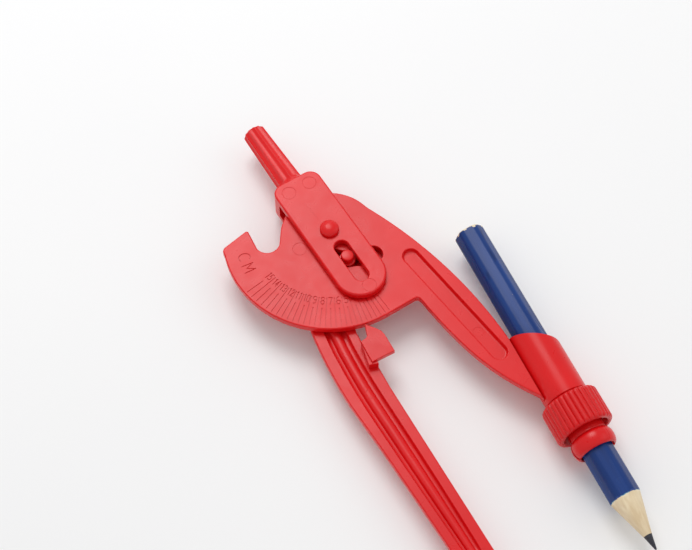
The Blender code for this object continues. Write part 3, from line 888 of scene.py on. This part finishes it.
def point_leg():
    low, high = -DISC_TOP, -GAP / 2
    leg = make_object("point_leg_moulding", slab(point_leg_outline(), rounded(low, high, 0.3, 0.35)))
    combine(leg, slab(cam_slot(-1), through(low, high, 0.25)))
    combine(leg, revolve([(HOLE_R, -7), (HOLE_R, 7)], 48))
    combine(leg, channel(high))
    ejector_mark(leg, -6.5, -44.5, high - 0.25, radius=1.25, depth=0.12)
    combine(leg, drawing_tip(), 'UNION')
    top = high + 2.9
    tab = [(-1.4, -27.75), (0.6, -29.6), (1.7, -30.9), (2.1, -32.1), (2.7, -37.2), (-3.6, -38.0)]
    tab += [(-4.1, -31.8), (-2.6, -31.4), (-2.1, -30.9)]
    foot = [(-4.05, -31.8), (-3.0, -31.6), (-2.1, -38.6), (-4.5, -38.2)]
    combine(leg, slab(foot, rounded(-1.4, top - 0.7, 0.05, 0.05)), 'UNION')
    combine(leg, slab(tab, rounded(top - 1.5, top, 0.1, 0.16)), 'UNION')
    return place(leg, POINT_LEG, "point_leg", RED, ["point_leg"])


# ---------------------------------------------------------------- clamp nut and pencil

def clamp_nut():
    """Ribbed nut: round ridges with narrow valleys, a plain ring at the open end."""
    per_rib = 12
    around = NUT_RIBS * per_rib
    end = NUT_S + NUT_L
    deep = 0.5
    edge = [(0.0, 0.9, 0.0), (0.1, 0.5, 0.5), (0.3, 0.2, 0.85), (0.6, 0.05, 1.0), (0.95, 0.0, 1.0)]
    outer = [(NUT_R - drop, NUT_S + along, share) for along, drop, share in edge]
    outer += [(NUT_R - drop * 0.8, end - along, share) for along, drop, share in edge[::-1]]
    inner = [(6.1, end, 0.0), (5.95, end - 0.15, 0.0), (5.9, end - 2.2, 0.0), (5.3, end - 2.7, 0.0)]
    inner += [(5.3, NUT_S + 0.3, 0.0), (5.6, NUT_S, 0.0)]
    loops = []
    for radius, s, share in outer + inner:
        loop = []
        for j in range(around):
            u = 2 * ((j / per_rib) % 1.0) - 1
            ridge = math.sqrt(max(0.0, 1 - (0.97 * u) ** 2))
            r = radius - deep * share * (1 - ridge)
            a = 2 * math.pi * j / around
            loop.append((r * math.cos(a), r * math.sin(a), s))
        loops.append(loop)
    obj = make_object("clamp_nut_moulding", skin(loops, closed=True))
    # The nut's material is the red moulding painted darker, as painted shade.
    return place(obj, HOLDER, "clamp_nut", RED_NUT_SHADED, ["clamp_nut"], sharp=50)


def hexagon():
    """Pencil's section: six flats with rounded corners."""
    centre = PENCIL_CORNER - PENCIL_EDGE_R
    points = []
    for k in range(6):
        a = 60.0 * k
        x = centre * math.cos(math.radians(a))
        y = centre * math.sin(math.radians(a))
        points += arc(x, y, PENCIL_EDGE_R, a - 30, a + 30, 6)
    return points


def pencil_halves():
    """The two glued slats: half hexagonal sticks, sharpened, with the lead's groove."""
    corner = PENCIL_CORNER
    wide = 1.3
    for side, name in ((1, "upper"), (-1, "lower")):
        half = [(x * side, max(y, 0.01) * side) for x, y in hexagon() if y > -1e-6]
        stick = make_object("pencil_casing_" + name,
                            slab(half, [(-0.08, PENCIL_TOP), (0, PENCIL_TOP + 0.1), (0, TIP_S)]))
        stick.data.materials.append(BLUE)
        cone = [(0.02, TIP_S), (corner * wide, TIP_S - CONE_L * wide), (corner * wide, PENCIL_TOP - 1)]
        keep = make_object("cone", revolve(cone, 120))
        keep.data.materials.append(WOOD)
        combine(stick, keep, 'INTERSECT')
        hole_r = LEAD_R + 0.02
        groove = make_object("groove", revolve([(hole_r, TIP_S + 1), (hole_r, PENCIL_TOP - 1)], 48))
        groove.data.materials.append(WOOD)
        combine(stick, groove)
        place(stick, HOLDER @ turn(HEX_TURN, 'Z'), "pencil", None, ["pencil_slat_" + name])


def lead():
    start = TIP_S - CONE_L * LEAD_R / PENCIL_CORNER
    profile = [(0.02, TIP_S - 0.02), (0.14, TIP_S - 0.06), (0.24, TIP_S - 0.22), (0.34, TIP_S - 0.6)]
    profile += [(LEAD_R, start), (LEAD_R, PENCIL_TOP + 0.1), (0.9, PENCIL_TOP + 0.02)]
    profile.append((0.02, PENCIL_TOP + 0.02))
    obj = make_object("lead_rod", revolve(profile, 48))
    return place(obj, HOLDER, "pencil", GRAPHITE, ["pencil_lead"])


# ---------------------------------------------------------------- stage

def camera():
    """Standing over the pivot's lower left, as close as a hand-held product shot."""
    azimuth, elevation, roll = math.radians(-32.28), math.radians(60.83), math.radians(0.17)
    level = Vector((math.sin(azimuth), -math.cos(azimuth), 0))
    back = level * math.cos(elevation) + Vector((0, 0, math.sin(elevation)))
    right = Vector((math.cos(azimuth), math.sin(azimuth), 0))
    up = back.cross(right)
    rolled_right = right * math.cos(roll) + up * math.sin(roll)
    rolled_up = up * math.cos(roll) - right * math.sin(roll)
    data = bpy.data.cameras.new("camera")
    data.lens = 76.68
    data.sensor_width = 36.0
    data.clip_start = 0.01
    obj = bpy.data.objects.new("camera", data)
    bpy.context.scene.collection.objects.link(obj)
    axes = Matrix((rolled_right, rolled_up, back)).transposed().to_4x4()
    place_mm = Vector((-99.8, -166.0, 325.3 + DISC_TOP)) * MM + PIVOT
    obj.matrix_world = Matrix.Translation(place_mm) @ axes
    bpy.context.scene.camera = obj


def area_light(name, position, target, size, power):
    data = bpy.data.lights.new(name, 'AREA')
    data.shape = 'RECTANGLE'
    data.size, data.size_y = size
    data.energy = power
    obj = bpy.data.objects.new(name, data)
    bpy.context.scene.collection.objects.link(obj)
    obj.location = position
    obj.rotation_euler = (Vector(target) - Vector(position)).to_track_quat('-Z', 'Y').to_euler()


def stage():
    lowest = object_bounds()[0].z
    mesh = bpy.data.meshes.new("floor")
    bm = bmesh.new()
    bmesh.ops.create_grid(bm, x_segments=1, y_segments=1, size=3.0)
    bm.to_mesh(mesh)
    bm.free()
    floor = bpy.data.objects.new("floor", mesh)
    bpy.context.scene.collection.objects.link(floor)
    floor.location.z = lowest - 0.0002
    mesh.materials.append(paper_floor())
    floor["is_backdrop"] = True
    world = bpy.data.worlds.new("studio")
    bpy.context.scene.world = world
    world.use_nodes = True
    background = world.node_tree.nodes["Background"]
    background.inputs["Color"].default_value = (1.0, 1.0, 1.0, 1.0)
    background.inputs["Strength"].default_value = 0.67
    area_light("softbox", (0.07, 0.30, 0.52), (0.0, -0.02, 0.0), (0.30, 0.34), 1.5)
    area_light("fill", (0.50, -0.25, 0.45), (0.0, -0.03, 0.0), (0.4, 0.4), 0.25)
    bpy.context.scene.view_settings.view_transform = 'Standard'


yoke()
rivet()
guide_pin()
pencil_leg()
point_leg()
clamp_nut()
pencil_halves()
lead()
camera()
stage()
